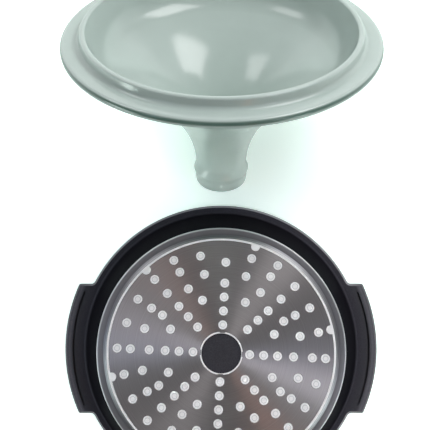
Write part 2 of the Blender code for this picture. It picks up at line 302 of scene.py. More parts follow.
def arc(radius: float, start: float, stop: float, steps: int,
        centre: Point2 = (0.0, 0.0)) -> list[Point2]:
    """Points of an arc in plan.

    Args:
        radius: The arc's radius.
        start: The first angle.
        stop: The last angle.
        steps: The number of facets.
        centre: The arc's centre.

    Returns:
        The arc's points, both ends included.
    """
    return [(centre[0] + radius * math.cos(start + (stop - start) * i / steps),
             centre[1] + radius * math.sin(start + (stop - start) * i / steps))
            for i in range(steps + 1)]


# ---- modelling


def only(piece: Piece) -> None:
    """Make a piece the one that is selected and active."""
    bpy.ops.object.select_all(action="DESELECT")
    piece.select_set(True)
    bpy.context.view_layer.objects.active = piece


def in_edit_mode(piece: Piece, work: Callable[[], None]) -> None:
    """Run operators on a piece in edit mode, with all of it selected at the start.

    Args:
        piece: The piece to work on.
        work: What is done there.
    """
    only(piece)
    bpy.ops.object.mode_set(mode="EDIT")
    bpy.ops.mesh.select_all(action="SELECT")
    work()
    bpy.ops.object.mode_set(mode="OBJECT")


def drawn_chain(name: str, points: Sequence[tuple[float, float, float]]) -> Piece:
    """Draw a chain of edges by extruding one vertex from point to point.

    Args:
        name: The new object's name.
        points: Its points in millimetres.

    Returns:
        The object.
    """
    bpy.ops.object.select_all(action="DESELECT")
    bpy.ops.mesh.primitive_plane_add(size=MM)
    piece = bpy.context.active_object
    piece.name = name
    track = [Vector(p) * MM for p in points]

    def extrude_along() -> None:
        bpy.ops.mesh.merge(type="CENTER")
        bpy.ops.transform.translate(value=track[0])
        for here, there in zip(track, track[1:]):
            bpy.ops.mesh.extrude_region_move(TRANSFORM_OT_translate={"value": there - here})

    in_edit_mode(piece, extrude_along)
    return piece


def turned(name: str, outline: Sequence[Point2], steps: int) -> Piece:
    """Turn an outline about the upright axis.

    Args:
        name: The new object's name.
        outline: Points as radius and height in millimetres.
        steps: The facets of the whole turn.

    Returns:
        The turned solid.
    """
    piece = drawn_chain(name, [(r, 0.0, z) for r, z in outline])

    def spin() -> None:
        bpy.ops.mesh.spin(steps=steps, angle=math.tau, center=(0, 0, 0), axis=(0, 0, 1))
        bpy.ops.mesh.select_all(action="SELECT")
        bpy.ops.mesh.remove_doubles(threshold=WELD)
        bpy.ops.mesh.normals_make_consistent(inside=False)

    in_edit_mode(piece, spin)
    return piece


def raised(name: str, outline: Sequence[Point2], bottom: float, top: float) -> Piece:
    """Fill an outline in plan and extrude it upwards.

    Args:
        name: The new object's name.
        outline: Points in plan in millimetres, anticlockwise.
        bottom: The lower height.
        top: The upper height.

    Returns:
        The solid.
    """
    piece = drawn_chain(name, [(x, y, bottom) for x, y in (*outline, outline[0])])

    def fill_and_extrude() -> None:
        bpy.ops.mesh.select_all(action="SELECT")
        bpy.ops.mesh.remove_doubles(threshold=WELD)
        bpy.ops.mesh.edge_face_add()
        bpy.ops.mesh.extrude_region_move(
            TRANSFORM_OT_translate={"value": (0.0, 0.0, (top - bottom) * MM)})
        bpy.ops.mesh.select_all(action="SELECT")
        bpy.ops.mesh.normals_make_consistent(inside=False)

    in_edit_mode(piece, fill_and_extrude)
    return piece


def apply_modifier(piece: Piece, kind: str, settings: dict) -> None:
    """Put a modifier on a piece and apply it.

    Args:
        piece: The piece to change.
        kind: The modifier's type.
        settings: Its values by property name.
    """
    modifier = piece.modifiers.new(kind.lower(), kind)
    for key, value in settings.items():
        setattr(modifier, key, value)
    only(piece)
    bpy.ops.object.modifier_apply(modifier=modifier.name)


def combine(target: Piece, tool: Piece, blend: Blend) -> None:
    """Join a solid to a piece, or cut it out of the piece, and use it up.

    Args:
        target: The piece to change.
        tool: The other solid.
        blend: Whether it joins or cuts.
    """
    apply_modifier(target, "BOOLEAN",
                   {"operation": blend.value, "solver": "EXACT", "object": tool})
    bpy.data.objects.remove(tool, do_unlink=True)


def joined(pieces: Sequence[Piece]) -> Piece:
    """Join several objects into the first one."""
    bpy.ops.object.select_all(action="DESELECT")
    for piece in pieces:
        piece.select_set(True)
    bpy.context.view_layer.objects.active = pieces[0]
    bpy.ops.object.join()
    return pieces[0]


def smooth_by_angle(piece: Piece, degrees: float) -> None:
    """Shade a piece smooth but for edges sharper than an angle."""
    only(piece)
    bpy.ops.object.shade_smooth_by_angle(angle=math.radians(degrees))


def set_in_place(piece: Piece, place: Matrix) -> None:
    """Move a finished piece to its place in the layout and keep the place in its mesh.

    Args:
        piece: The piece, drawn in its pose of use.
        place: Where that pose's frame lies.
    """
    piece.matrix_world = place
    only(piece)
    bpy.ops.object.transform_apply(location=True, rotation=True, scale=True)


# ---- finishes


@dataclass(frozen=True)
class CeladonGlaze:
    """A glossy celadon glaze fired on stoneware.

    The eye sees a pale grey-green body colour, a wet and slightly wavy gloss, and a tone that
    is a little lighter where the glaze runs thin over edges and deeper where it pools. A dark
    band is painted on the flange's outer edge, a painted shade that stands in for the shade
    falling there.
    """

    body: str = "BCCBC5"
    thin: str = "D3E0DB"
    pooled: str = "A9BAB3"
    # a dark band painted on the flange's outer edge: a painted shade
    painted_edge_shade: str = "617A70"
    painted_shade_radius_mm: float = 138.3
    painted_shade_width_mm: float = 1.4
    painted_shade_top_mm: float = 3.6
    painted_shade_fade_mm: float = 1.6
    painted_shade_above: float = 0.25
    # pointiness from which the glaze is pooled or thin, and up to which it is plain
    hollow_edge: Point2 = (0.44, 0.497)
    raised_edge: Point2 = (0.503, 0.56)
    cloudiness: Point2 = (0.965, 1.03)
    roughness: float = 0.17
    ior: float = 1.52
    wave_mm: float = 16.0
    wave_strength: float = 0.12
    wave_depth_mm: float = 0.5
    peel_mm: float = 1.6
    peel_strength: float = 0.05
    peel_depth_mm: float = 0.1

    def material(self, name: str, place: Matrix) -> bpy.types.Material:
        """Build the node material.

        Args:
            name: The material's name.
            place: Where the lid's own frame lies in the layout.

        Returns:
            The material.
        """
        material, shader = fresh_material(name)
        tree = material.node_tree
        laid, own, radius = lathe_frame(tree, place)
        height = add_node(tree, "SeparateXYZ", None, {"Vector": own}).outputs["Z"]
        # the painted shade's mask: a band at the flange's outer edge, weaker above its top
        painted_shade_spans = (
            (radius, self.painted_shade_radius_mm * MM, (self.painted_shade_radius_mm + self.painted_shade_width_mm) * MM,
             0.0, 1.0),
            (height, self.painted_shade_top_mm * MM, (self.painted_shade_top_mm + self.painted_shade_fade_mm) * MM,
             1.0, self.painted_shade_above))
        outer, under = (
            add_node(tree, "MapRange",
                     {"interpolation_type": "SMOOTHSTEP", **dict(zip(SPAN, span))},
                     {"Value": value})
            for value, *span in painted_shade_spans)
        painted_edge_shade = add_node(tree, "Math", {"operation": "MULTIPLY"}, {0: outer, 1: under})
        cloud, peel = (
            add_node(tree, "TexNoise", {"Scale": 1 / (size * MM), "Detail": detail},
                     {"Vector": laid})
            for size, detail in ((self.wave_mm, 3.0), (self.peel_mm, 2.0)))
        curve = add_node(tree, "NewGeometry")
        edge = add_node(tree, "ValToRGB", None, {"Fac": curve.outputs["Pointiness"]})
        tones = (self.pooled, self.body, self.body, self.thin)
        ramp_stops(edge, [(place, linear(tone)) for place, tone in
                          zip((*self.hollow_edge, *self.raised_edge), tones)])
        tone = add_node(tree, "MapRange", dict(zip(SPAN[2:], self.cloudiness)), {"Value": cloud})
        tinted = add_node(tree, "HueSaturation", None, {"Color": edge, "Value": tone})
        wave = add_node(tree, "Bump", {"Strength": self.wave_strength,
                                       "Distance": self.wave_depth_mm * MM}, {"Height": cloud})
        skin = add_node(tree, "Bump", {"Strength": self.peel_strength,
                                       "Distance": self.peel_depth_mm * MM},
                        {"Height": peel, "Normal": wave})
        painted_shade_mixed = add_node(tree, "Mix", {"data_type": "RGBA", 7: linear(self.painted_edge_shade)},
                          {0: painted_edge_shade, 6: tinted})
        feed(tree, shader, {"Roughness": self.roughness, "IOR": self.ior},
             {"Base Color": painted_shade_mixed.outputs[2], "Normal": skin})
        return material


@dataclass(frozen=True)
class CookwareCoating:
    """A black sprayed non-stick coating on a casting.

    The eye sees a deep, faintly violet black that is almost matt, broken up by the fine grain of
    the spray. Its colour comes in bands by the distance from the axis. On the main coating the
    wall is painted darker, a painted shade, and the ledge and lugs grow lighter out to the lug
    lips, a painted sheen. Real grain is about 0.2 mm, too fine for the picture, so it is drawn
    coarser. The gloss level is far below the usual one, because the photographed wall stays
    black at a grazing view.
    """

    bands: tuple[Band, ...]
    roughness: float = 0.58
    roughness_spread: float = 0.07
    grain_mm: float = 0.7
    grain_span: Point2 = (0.3, 0.7)
    grain_tones: Point2 = (0.85, 1.2)
    grain_strength: float = 0.25
    grain_depth_mm: float = 0.08
    smear_mm: float = 28.0
    ior: float = 1.36
    gloss_level: float = 0.01

    def material(self, name: str, place: Matrix) -> bpy.types.Material:
        """Build the node material.

        Args:
            name: The material's name.
            place: Where the pan's own frame lies in the layout.

        Returns:
            The material.
        """
        material, shader = fresh_material(name)
        tree = material.node_tree
        laid, _, radius = lathe_frame(tree, place)
        grain, smear = (
            add_node(tree, "TexNoise", {"Scale": 1 / (size * MM), "Detail": detail},
                     {"Vector": laid})
            for size, detail in ((self.grain_mm, 3.0), (self.smear_mm, 4.0)))
        speck = add_node(tree, "MapRange", dict(zip(SPAN, (*self.grain_span, *self.grain_tones))),
                         {"Value": grain})
        grained = add_node(tree, "HueSaturation", None,
                           {"Color": tone_bands(tree, radius, self.bands), "Value": speck})
        spread = (self.roughness - self.roughness_spread, self.roughness + self.roughness_spread)
        gloss = add_node(tree, "MapRange", dict(zip(SPAN[2:], spread)), {"Value": smear})
        skin = add_node(tree, "Bump", {"Strength": self.grain_strength,
                                       "Distance": self.grain_depth_mm * MM}, {"Height": grain})
        feed(tree, shader, {"IOR": self.ior, "Specular IOR Level": self.gloss_level},
             {"Base Color": grained, "Roughness": gloss, "Normal": skin})
        return material


@dataclass(frozen=True)
class TurnedMetal:
    """Metal turned on a lathe, with rings of tool marks about the pan's axis.

    The eye sees light drawn out across the rings into soft fans, and faint circles of lighter
    and darker metal. Real marks are about 0.2 mm apart, which the picture can't show, so they
    are drawn about five times as coarse. The tone is one colour or, where a turned profile is
    too fine to be modelled, bands of colour by their distances from the axis, which paint that
    profile's light and dark as painted shade and painted highlight.
    """

    tone: str | tuple[Band, ...]
    roughness: float
    anisotropy: float
    roughness_spread: float = 0.05
    ring_mm: float = 1.1
    ring_span: Point2 = (0.25, 0.75)
    ring_contrast: float = 0.08
    ring_strength: float = 0.08
    ring_depth_mm: float = 0.05
    cloud_mm: float = 35.0
    metallic: float = 1.0
    quarter_turn: float = 0.25

    def material(self, name: str, place: Matrix) -> bpy.types.Material:
        """Build the node material.

        Args:
            name: The material's name.
            place: Where the pan's own frame lies in the layout.

        Returns:
            The material.
        """
        material, shader = fresh_material(name)
        tree = material.node_tree
        laid, _, radius = lathe_frame(tree, place)
        rings = add_node(tree, "TexNoise", {
            "noise_dimensions": "1D", "Detail": 2.0, "Scale": 1 / (self.ring_mm * MM)},
                         {"W": radius})
        cloud = add_node(tree, "TexNoise", {"Scale": 1 / (self.cloud_mm * MM), "Detail": 3.0},
                         {"Vector": laid})
        contrast = (1 - self.ring_contrast, 1 + self.ring_contrast)
        shade = add_node(tree, "MapRange", dict(zip(SPAN, (*self.ring_span, *contrast))),
                         {"Value": rings})
        tinted = add_node(tree, "HueSaturation", None, {"Value": shade})
        if isinstance(self.tone, str):
            feed(tree, tinted, {"Color": linear(self.tone)})
        else:
            # bands that paint a turned profile's shade and highlight
            feed(tree, tinted, None, {"Color": tone_bands(tree, radius, self.tone)})
        spread = (self.roughness - self.roughness_spread, self.roughness + self.roughness_spread)
        gloss = add_node(tree, "MapRange", dict(zip(SPAN[2:], spread)), {"Value": cloud})
        skin = add_node(tree, "Bump", {"Strength": self.ring_strength,
                                       "Distance": self.ring_depth_mm * MM}, {"Height": rings})
        around = add_node(tree, "Tangent", {"direction_type": "RADIAL", "axis": "Z"})
        feed(tree, shader, {"Metallic": self.metallic, "Anisotropic": self.anisotropy,
                            "Anisotropic Rotation": self.quarter_turn},
             {"Base Color": tinted, "Roughness": gloss, "Normal": skin, "Tangent": around})
        return material


# ---- the lid


@dataclass
class Lid:
    """The one-piece lid, drawn mouth down with its seat at height zero."""

    flange_radius: float = 140.0
    flange_thickness: float = 8.0
    flange_edge_round: float = 3.9
    ring_radius: float = 124.0
    ring_drop: float = 9.8
    ring_width: float = 4.6
    ring_taper: float = 1.4
    ring_round: float = 2.0
    ring_foot_round: float = 4.5
    height: float = 151.8
    wall: float = 6.5
    shoulder_inset: float = 20.5
    shoulder_height: float = 18.0
    shoulder_round: float = 9.0
    shoulder_foot_round: float = 5.0
    cone_foot: Point2 = (110.0, 26.0)
    cone_belly: Point2 = (48.0, 54.0)
    neck: Point2 = (23.7, 131.0)
    neck_run: float = 34.4
    inner_draft: float = 8.5
    inner_height: float = 19.1
    inner_round: float = 30.0
    inner_blend: float = 22.0
    knob_radius: float = 25.8
    knob_widest_height: float = 136.6
    knob_side_round: float = 2.4
    knob_rings: tuple[Corner, ...] = ((24.3, 145.6, 3.0), (24.2, 141.6, 2.0))
    knob_end_radius: float = 23.1
    knob_end_round: float = 4.0
    bore_radius: float = 12.0
    crown: float = 14.0
    bore_round: float = 6.0
    cone_steps: int = 40
    steps: int = 224
    crease_degrees: float = 40.0
    tilt_degrees: float = 38.94
    seat_centre: tuple[float, float, float] = (0.0, 166.2572, 112.3074)
    glaze: CeladonGlaze = field(default_factory=CeladonGlaze)

    def outline(self) -> list[Point2]:
        """Return the section from the knob's top down outside and up inside."""
        cone = bezier((self.neck, (self.neck[0], self.neck[1] - self.neck_run), self.cone_belly,
                       self.cone_foot), self.cone_steps)
        bore_top = self.height - self.crown
        ring_tip = self.ring_radius - self.ring_taper
        inner_lip = ring_tip - self.ring_width
        inner_corner = inner_lip - self.inner_draft
        inner_cone = [p for p in moved_inwards(cone, self.wall)
                      if self.bore_radius < p[0] < inner_corner - self.inner_blend]
        shoulder = self.flange_radius - self.shoulder_inset
        return rounded([
            (0.0, self.height, 0.0),
            (self.knob_end_radius, self.height, self.knob_end_round),
            *self.knob_rings,
            (self.knob_radius, self.knob_widest_height, self.knob_side_round),
            *((r, z, 0.0) for r, z in cone),
            (shoulder, self.shoulder_height, self.shoulder_round),
            (shoulder, self.flange_thickness, self.shoulder_foot_round),
            (self.flange_radius, self.flange_thickness, self.flange_edge_round),
            (self.flange_radius, 0.0, self.flange_edge_round),
            (self.ring_radius, 0.0, self.ring_foot_round),
            (ring_tip, -self.ring_drop, self.ring_round),
            (inner_lip, -self.ring_drop, self.ring_round),
            (inner_corner, self.inner_height, self.inner_round),
            *((r, z, 0.0) for r, z in reversed(inner_cone)),
            (self.bore_radius, bore_top, self.bore_round),
            (0.0, bore_top, 0.0),
        ])

    def place(self) -> Matrix:
        """Return where the lid's own frame lies in the layout."""
        turn = Matrix.Rotation(math.pi / 2 + math.radians(self.tilt_degrees), 4, "X")
        return Matrix.Translation(Vector(self.seat_centre) * MM) @ turn

    def build(self) -> Piece:
        """Model, dress and lay down the lid.

        Returns:
            The finished piece.
        """
        piece = turned("celadon_lid", self.outline(), self.steps)
        smooth_by_angle(piece, self.crease_degrees)
        piece.data.materials.clear()
        glaze = self.glaze.material("celadon_glazed_stoneware", self.place())
        piece.data.materials.append(glaze)
        set_in_place(piece, self.place())
        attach(piece, "lid")
        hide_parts("lid")
        return piece


# ---- the pan and its plate


@dataclass
class StudPattern:
    """The rows of round studs that stand through the induction plate, with their marks."""

    first_radius: float = 26.1
    last_radius: float = 103.0
    pitches: int = 12
    turn_degrees: float = 2.87
    radius: float = 4.2
    gap: float = 0.3
    mark_radius: float = 2.35
    mark_foot: float = 0.65
    mark_depth: float = 0.2
    mark_overrun: float = 0.3
    sides: int = 24
    rows: tuple[tuple[float, float, int], ...] = (
        (0.0, 0.0, 4), (1.0, 45.0, 4), (2.0, 0.0, 4), (3.0, 45.0, 4), (4.0, 0.0, 4),
        (4.0, 22.5, 8), (5.0, 45.0, 4), (6.0, 30.0, 6), (6.3, 0.0, 6), (7.5, 15.0, 12),
        (7.85, 30.0, 2), (7.85, 150.0, 2), (9.0, 0.0, 4), (9.0, 60.0, 2), (9.0, 120.0, 2),
        (10.2, 15.0, 12), (10.2, 30.0, 2), (10.2, 150.0, 2), (10.9, 0.0, 6), (12.0, 45.0, 6),
    )

    def centres(self) -> Iterable[Point2]:
        """Yield every stud's centre in plan."""
        pitch = (self.last_radius - self.first_radius) / self.pitches
        for place, first, count in self.rows:
            radius = self.first_radius + place * pitch
            for index in range(count):
                angle = math.radians(first + self.turn_degrees) + math.tau * index / count
                yield radius * math.cos(angle), radius * math.sin(angle)

    def drills(self, radius: float, bottom: float, top: float) -> Piece:
        """Model one round cutter and copy it to every stud's place.

        Args:
            radius: The cutter's radius.
            bottom: Its lower end.
            top: Its upper end.

        Returns:
            All the cutters as one object.
        """
        bpy.ops.object.select_all(action="DESELECT")
        bpy.ops.mesh.primitive_cylinder_add(vertices=self.sides, radius=radius * MM,
                                            depth=(top - bottom) * MM,
                                            location=(0.0, 0.0, (top + bottom) / 2 * MM))
        return self.at_studs(bpy.context.active_object, math.inf)

    def marks(self, reach: float) -> Piece:
        """Model the cutters of the faint round tool marks in the stud tops.

        Args:
            reach: The radius that all of a mark stays inside.

        Returns:
            All the cutters as one object.
        """
        inner, outer = self.mark_radius - self.mark_foot, self.mark_radius + self.mark_foot
        foot = -self.mark_overrun
        ring = ((inner, foot), (self.mark_radius, self.mark_depth), (outer, foot),
                (inner, foot))
        return self.at_studs(turned("mark", ring, self.sides), reach - outer)

    def at_studs(self, first: Piece, reach: float) -> Piece:
        """Copy a cutter to the studs' places and use it up.

        Args:
            first: The cutter, drawn about the pan's axis.
            reach: Studs whose centre lies farther out than this get no copy.

        Returns:
            All the copies as one object.
        """
        copies = []
        for x, y in self.centres():
            if math.hypot(x, y) < reach:
                copy = first.copy()
                copy.data = first.data.copy()
                copy.location.x = x * MM
                copy.location.y = y * MM
                bpy.context.scene.collection.objects.link(copy)
                copies.append(copy)
        bpy.data.objects.remove(first, do_unlink=True)
        tool = joined(copies)
        only(tool)
        bpy.ops.object.transform_apply(location=True, rotation=True, scale=True)
        return tool


@dataclass
class PlateShape:
    """The outline that the induction plate and the pocket for it share."""

    radius: float = 103.4
    thickness: float = 1.2
    bore_radius: float = 20.1
    tab_width: float = 4.2
    tab_reach: float = 0.9
    tabs: int = 4
    gap: float = 0.3
    bore_steps: int = 24
    steps: int = 240
    studs: StudPattern = field(default_factory=StudPattern)

    def bore(self, grow: float) -> list[Point2]:
        """Return the bore's outline with its tabs.

        Args:
            grow: How far the metal round it is grown.
        """
        radius = self.bore_radius - grow
        width = self.tab_width + 2 * grow
        half = math.asin(width / 2 / radius)
        tip = radius - self.tab_reach
        points: list[Point2] = []
        for index in range(self.tabs):
            tab = math.tau * index / self.tabs + math.radians(self.studs.turn_degrees)
            for sign in (-1, 1):
                across = sign * width / 2
                along = math.sqrt(tip * tip - across * across)
                points.append((along * math.cos(tab) - across * math.sin(tab),
                               along * math.sin(tab) + across * math.cos(tab)))
            points += arc(radius, tab + half, tab + math.tau / self.tabs - half,
                          self.bore_steps)
        return points

    def disc(self, name: str, grow: float, bottom: float, top: float) -> Piece:
        """Model the perforated disc.

        Args:
            name: The new object's name.
            grow: Zero for the plate, or the gap for the pocket that takes it.
            bottom: Its lower height.
            top: Its upper height.

        Returns:
            The disc.
        """
        plan = arc(self.radius + grow, 0.0, math.tau, self.steps)[:-1]
        disc = raised(name, plan, bottom, top)
        ends = (bottom - OVERRUN, top + OVERRUN)
        combine(disc, raised("bore", self.bore(grow), *ends), Blend.CUT)
        hole = self.studs.radius + self.gap - grow
        combine(disc, self.studs.drills(hole, *ends), Blend.CUT)
        return disc


@dataclass
class Pan:
    """The casting and its plate, drawn mouth up with the hob face at height zero."""

    height: float = 52.0
    wall: float = 3.8
    floor: float = 6.5
    inner_corner: float = 16.0
    heel_height: float = 5.0
    mouth_chamfer: float = 0.8
    seat_radius: float = 125.2
    rim_width: float = 12.6
    rim_thickness: float = 6.5
    edge_round: float = 1.8
    ledge_round: float = 2.0
    under_cove: float = 3.0
    wall_foot_round: float = 2.5
    lug_reach: float = 12.5
    lug_length: float = 124.4
    lug_corner: float = 2.2
    lug_root: float = 4.5
    groove_width: float = 1.8
    groove_depth: float = 2.4
    groove_length: float = 109.4
    lip_width: float = 7.2
    bearing_width: float = 1.9
    band_width: float = 9.8
    band_rise: float = 2.6
    band_step: float = 0.7
    band_rounds: tuple[float, float, float] = (0.6, 0.8, 0.2)
    centre_ring_width: float = 1.4
    recess_depth: float = 1.2
    steps: int = 240
    lug_steps: int = 36
    corner_steps: int = 8
    rim_steps: int = 88
    recess_steps: int = 96
    bevel_steps: int = 5
    bevel_degrees: float = 60.0
    crease_degrees: float = 32.0
    seam: float = 0.1
    edge_slant: Point2 = (0.1, 0.995)
    groove_slant: Point2 = (0.1, 0.97)
    axis_y: float = -114.8495
    shape: PlateShape = field(default_factory=PlateShape)
    # main coating: the wall is painted darkest, a painted shade, and the bands grow lighter out to
    # the lug lips, a painted sheen
    coating: CookwareCoating = CookwareCoating((
        (129.0, "121116"), (131.0, "3A3940"), (134.0, "3D3C43"), (138.0, "403F45"),
        (142.0, "444449"), (143.2, "48474D"), (146.2, "66656C"), (149.0, "545359")))
    recess_coating: CookwareCoating = CookwareCoating(
        ((0.0, "38373B"), (20.0, "3C3B40")), roughness=0.5, grain_mm=0.9)
    # a painted highlight: light grey on the bevelled edges of the ledge and lugs
    edge_highlight_coating: CookwareCoating = CookwareCoating(
        ((137.0, "9A9A9E"), (150.0, "727276")), roughness=0.45)
    bare: TurnedMetal = TurnedMetal("F4F3F3", 0.8, 0.0, ring_contrast=0.03)
    mark: TurnedMetal = TurnedMetal("DADADC", 0.8, 0.0, ring_contrast=0.03)
    # the heel's bands paint a painted shade across its middle and a painted highlight near its
    # outer edge
    heel: TurnedMetal = TurnedMetal((
        (105.6, "868688"), (106.8, "929294"), (107.6, "737377"), (110.8, "818185"),
        (113.6, "8E8E92"), (114.6, "C8C8CB"), (115.4, "ACACB0")), 0.42, 0.5, metallic=0.9)
    steel: TurnedMetal = TurnedMetal("A7A2A3", 0.38, 0.85, ring_contrast=0.06)

    @property
    def rim_radius(self) -> float:
        """The rim's outer radius."""
        return self.seat_radius + self.rim_width

    @property
    def lug_radius(self) -> float:
        """The lugs' outer radius."""
        return self.rim_radius + self.lug_reach

    @property
    def bearing_radius(self) -> float:
        """The bright bearing ring's outer radius."""
        return self.shape.radius + self.shape.gap + self.bearing_width

    @property
    def heel_radius(self) -> float:
        """The turned band's outer radius."""
        return self.bearing_radius + self.band_width

    @property
    def recess_radius(self) -> float:
        """The centre recess's radius."""
        return self.shape.bore_radius - self.shape.gap - self.centre_ring_width

    def place(self) -> Matrix:
        """Return where the pan's own frame lies in the layout, upside down."""
        stand = Vector((0.0, self.axis_y, self.height)) * MM
        return Matrix.Translation(stand) @ Matrix.Rotation(math.pi, 4, "X")

    def ledge_plan(self) -> list[Point2]:
        """Return the rim's outer edge in plan with both lugs, anticlockwise."""
        half = self.lug_length / 2
        rise = half + self.lug_root
        root = (math.sqrt((self.rim_radius + self.lug_root) ** 2 - rise ** 2), rise)
        drop = half - self.lug_corner
        corner = (math.sqrt((self.lug_radius - self.lug_corner) ** 2 - drop ** 2), drop)
        corner_angle = math.atan2(corner[1], corner[0])
        root_angle = math.atan2(root[1], root[0])
        upper = arc(self.lug_corner, corner_angle, math.pi / 2, self.corner_steps, corner)
        upper += arc(self.lug_root, -math.pi / 2, root_angle - math.pi, self.corner_steps, root)
        lower = [(x, -y) for x, y in reversed(upper)]
        lug = arc(self.lug_radius, -corner_angle, corner_angle, self.lug_steps)[1:-1]
        right = lower + lug + upper
        meet = math.atan2(right[-1][1], right[-1][0])
        back = arc(self.rim_radius, meet, math.pi - meet, self.rim_steps)[1:-1]
        return right + back + [(-x, -y) for x, y in right] + [(-x, -y) for x, y in back]

    def groove(self, side: int) -> Piece:
        """Model the cutter of the groove under one lug.

        Args:
            side: One for the right lug, minus one for the left.

        Returns:
            The cutter.
        """
        outer = self.lug_radius - self.lip_width
        half = math.asin(self.groove_length / 2 / outer)
        plan = arc(outer, -half, half, self.lug_steps)
        plan += arc(outer - self.groove_width, half, -half, self.lug_steps)
        ledge = self.height - self.rim_thickness
        return raised("groove", [(side * x, side * y) for x, y in plan], ledge - OVERRUN,
                      ledge + self.groove_depth)

    def body(self) -> Piece:
        """Return the solid outer form below the ledge."""
        ledge = self.height - self.rim_thickness
        middle = ledge + self.rim_thickness / 2
        wall_top = self.seat_radius + self.wall
        outer, middle_round, inner = self.band_rounds
        return turned("coated_pan", rounded((
            (0.0, middle, 0.0),
            (wall_top + self.under_cove, middle, 0.0),
            (wall_top + self.under_cove, ledge, 0.0),
            (wall_top, ledge - self.under_cove, self.wall_foot_round),
            (self.heel_radius, self.heel_height, self.edge_round),
            (self.heel_radius - self.band_step, self.band_rise, outer),
            (self.bearing_radius + self.band_width / 3, self.band_rise, middle_round),
            (self.bearing_radius, self.band_step, inner),
            (self.bearing_radius, 0.0, 0.0),
            (0.0, 0.0, 0.0),
        )), self.steps)

    def hollow(self) -> Piece:
        """Return the cutter of the inside."""
        rise = self.height - self.rim_thickness - self.under_cove - self.heel_height
        slope = (self.seat_radius + self.wall - self.heel_radius) / rise
        floor_radius = self.seat_radius - slope * (self.height - self.floor)
        return turned("hollow", rounded((
            (0.0, self.height + OVERRUN, 0.0),
            (self.seat_radius + self.mouth_chamfer + OVERRUN, self.height + OVERRUN, 0.0),
            (self.seat_radius, self.height - self.mouth_chamfer, 0.0),
            (floor_radius, self.floor, self.inner_corner),
            (0.0, self.floor, 0.0),
        )), self.steps)

    def zone(self, face: bpy.types.MeshPolygon) -> PanZone:
        """Tell which finish a face of the casting has."""
        radius = math.hypot(face.center.x, face.center.y) / MM
        height = face.center.z / MM
        slant = abs(face.normal.z)
        if radius > self.heel_radius + self.seam or height > self.heel_height:
            past_cove = self.seat_radius + self.wall + self.under_cove + 5 * self.seam
            # the bevelled edges out past the cove get the painted highlight
            on_edge = radius > past_cove and self.edge_slant[0] < slant < self.edge_slant[1]
            return PanZone.RUBBED if on_edge else PanZone.COATED
        if radius > self.bearing_radius - self.seam / 2 and height > self.seam / 2:
            return PanZone.HEEL
        if radius < self.recess_radius + self.seam:
            return PanZone.RECESS
        if height > self.shape.thickness + 2 * self.seam:
            return PanZone.COATED
        in_groove = self.groove_slant[0] < slant < self.groove_slant[1]
        shallow = height < self.shape.studs.mark_depth
        return PanZone.MARK if in_groove and shallow else PanZone.BARE

    def build_casting(self) -> Piece:
        """Model, dress and lay down the casting.

        Returns:
            The finished piece.
        """
        piece = self.body()
        ledge = raised("ledge", self.ledge_plan(), self.height - self.rim_thickness, self.height)
        apply_modifier(ledge, "BEVEL", {
            "width": self.ledge_round * MM, "segments": self.bevel_steps,
            "limit_method": "ANGLE", "angle_limit": math.radians(self.bevel_degrees)})
        combine(piece, ledge, Blend.JOIN)
        combine(piece, self.hollow(), Blend.CUT)
        for side in (1, -1):
            combine(piece, self.groove(side), Blend.CUT)
        pocket = self.shape.disc("pocket", self.shape.gap, -OVERRUN,
                                 self.shape.thickness + self.shape.gap)
        combine(piece, pocket, Blend.CUT)
        plan = arc(self.recess_radius, 0.0, math.tau, self.recess_steps)[:-1]
        combine(piece, raised("recess", plan, -OVERRUN, self.recess_depth), Blend.CUT)
        combine(piece, self.shape.studs.marks(self.shape.radius), Blend.CUT)
        piece.data.materials.clear()
        for name, finish in (
                ("black_nonstick_coating", self.coating), ("bare_turned_aluminium", self.bare),
                ("turned_heel_band", self.heel), ("coated_centre_recess", self.recess_coating),
                ("painted_edge_highlight_coating", self.edge_highlight_coating), ("stud_tool_mark", self.mark)):
            piece.data.materials.append(finish.material(name, self.place()))
        for face in piece.data.polygons:
            face.material_index = self.zone(face).value
        for zone in PanZone:
            count = sum(face.material_index == zone.value for face in piece.data.polygons)
            log.info("%s: %d faces", zone.name.lower(), count)
        smooth_by_angle(piece, self.crease_degrees)
        apply_modifier(piece, "WEIGHTED_NORMAL", {"keep_sharp": True})
        set_in_place(piece, self.place())
        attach(piece, "base")
        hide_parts("pan")
        return piece

    def build_plate(self) -> Piece:
        """Model, dress and lay down the induction plate.

        Returns:
            The finished piece.
        """
        piece = self.shape.disc("perforated_plate", 0.0, 0.0, self.shape.thickness)
        piece.data.materials.clear()
        steel = self.steel.material("turned_stainless_steel", self.place())
        piece.data.materials.append(steel)
        smooth_by_angle(piece, self.crease_degrees)
        set_in_place(piece, self.place())
        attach(piece, "base")
        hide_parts("induction_plate")
        return piece


# ---- the studio


LID_MIDDLE = (0.0, 0.166, 0.112)
PLATE_MIDDLE = (0.0, -0.11, 0.05)
BEFORE_LID = (0.0, 0.06, 0.055)


@dataclass(frozen=True)
class Softbox:
    """One rectangular soft lamp."""

    name: str
    centre: tuple[float, float, float]
    aim: tuple[float, float, float]
    width: float
    height: float
    brightness: float
    colour: str = "FFFFFF"
    spread_degrees: float = 180.0

    def build(self) -> Piece:
        """Hang the lamp.

        Returns:
            The lamp's object.
        """
        lamp = bpy.data.lights.new(self.name, "AREA")
        lamp.shape = "RECTANGLE"
        lamp.size = self.width
        lamp.size_y = self.height
        # a lamp of brightness one gives pi watts from each square metre
        lamp.energy = self.brightness * math.pi * self.width * self.height
        lamp.color = linear(self.colour)[:3]
        lamp.spread = math.radians(self.spread_degrees)
        item = bpy.data.objects.new(self.name, lamp)
        item.location = self.centre
        towards = Vector(self.aim) - Vector(self.centre)
        item.rotation_euler = towards.to_track_quat("-Z", "Y").to_euler()
        bpy.context.scene.collection.objects.link(item)
        return item


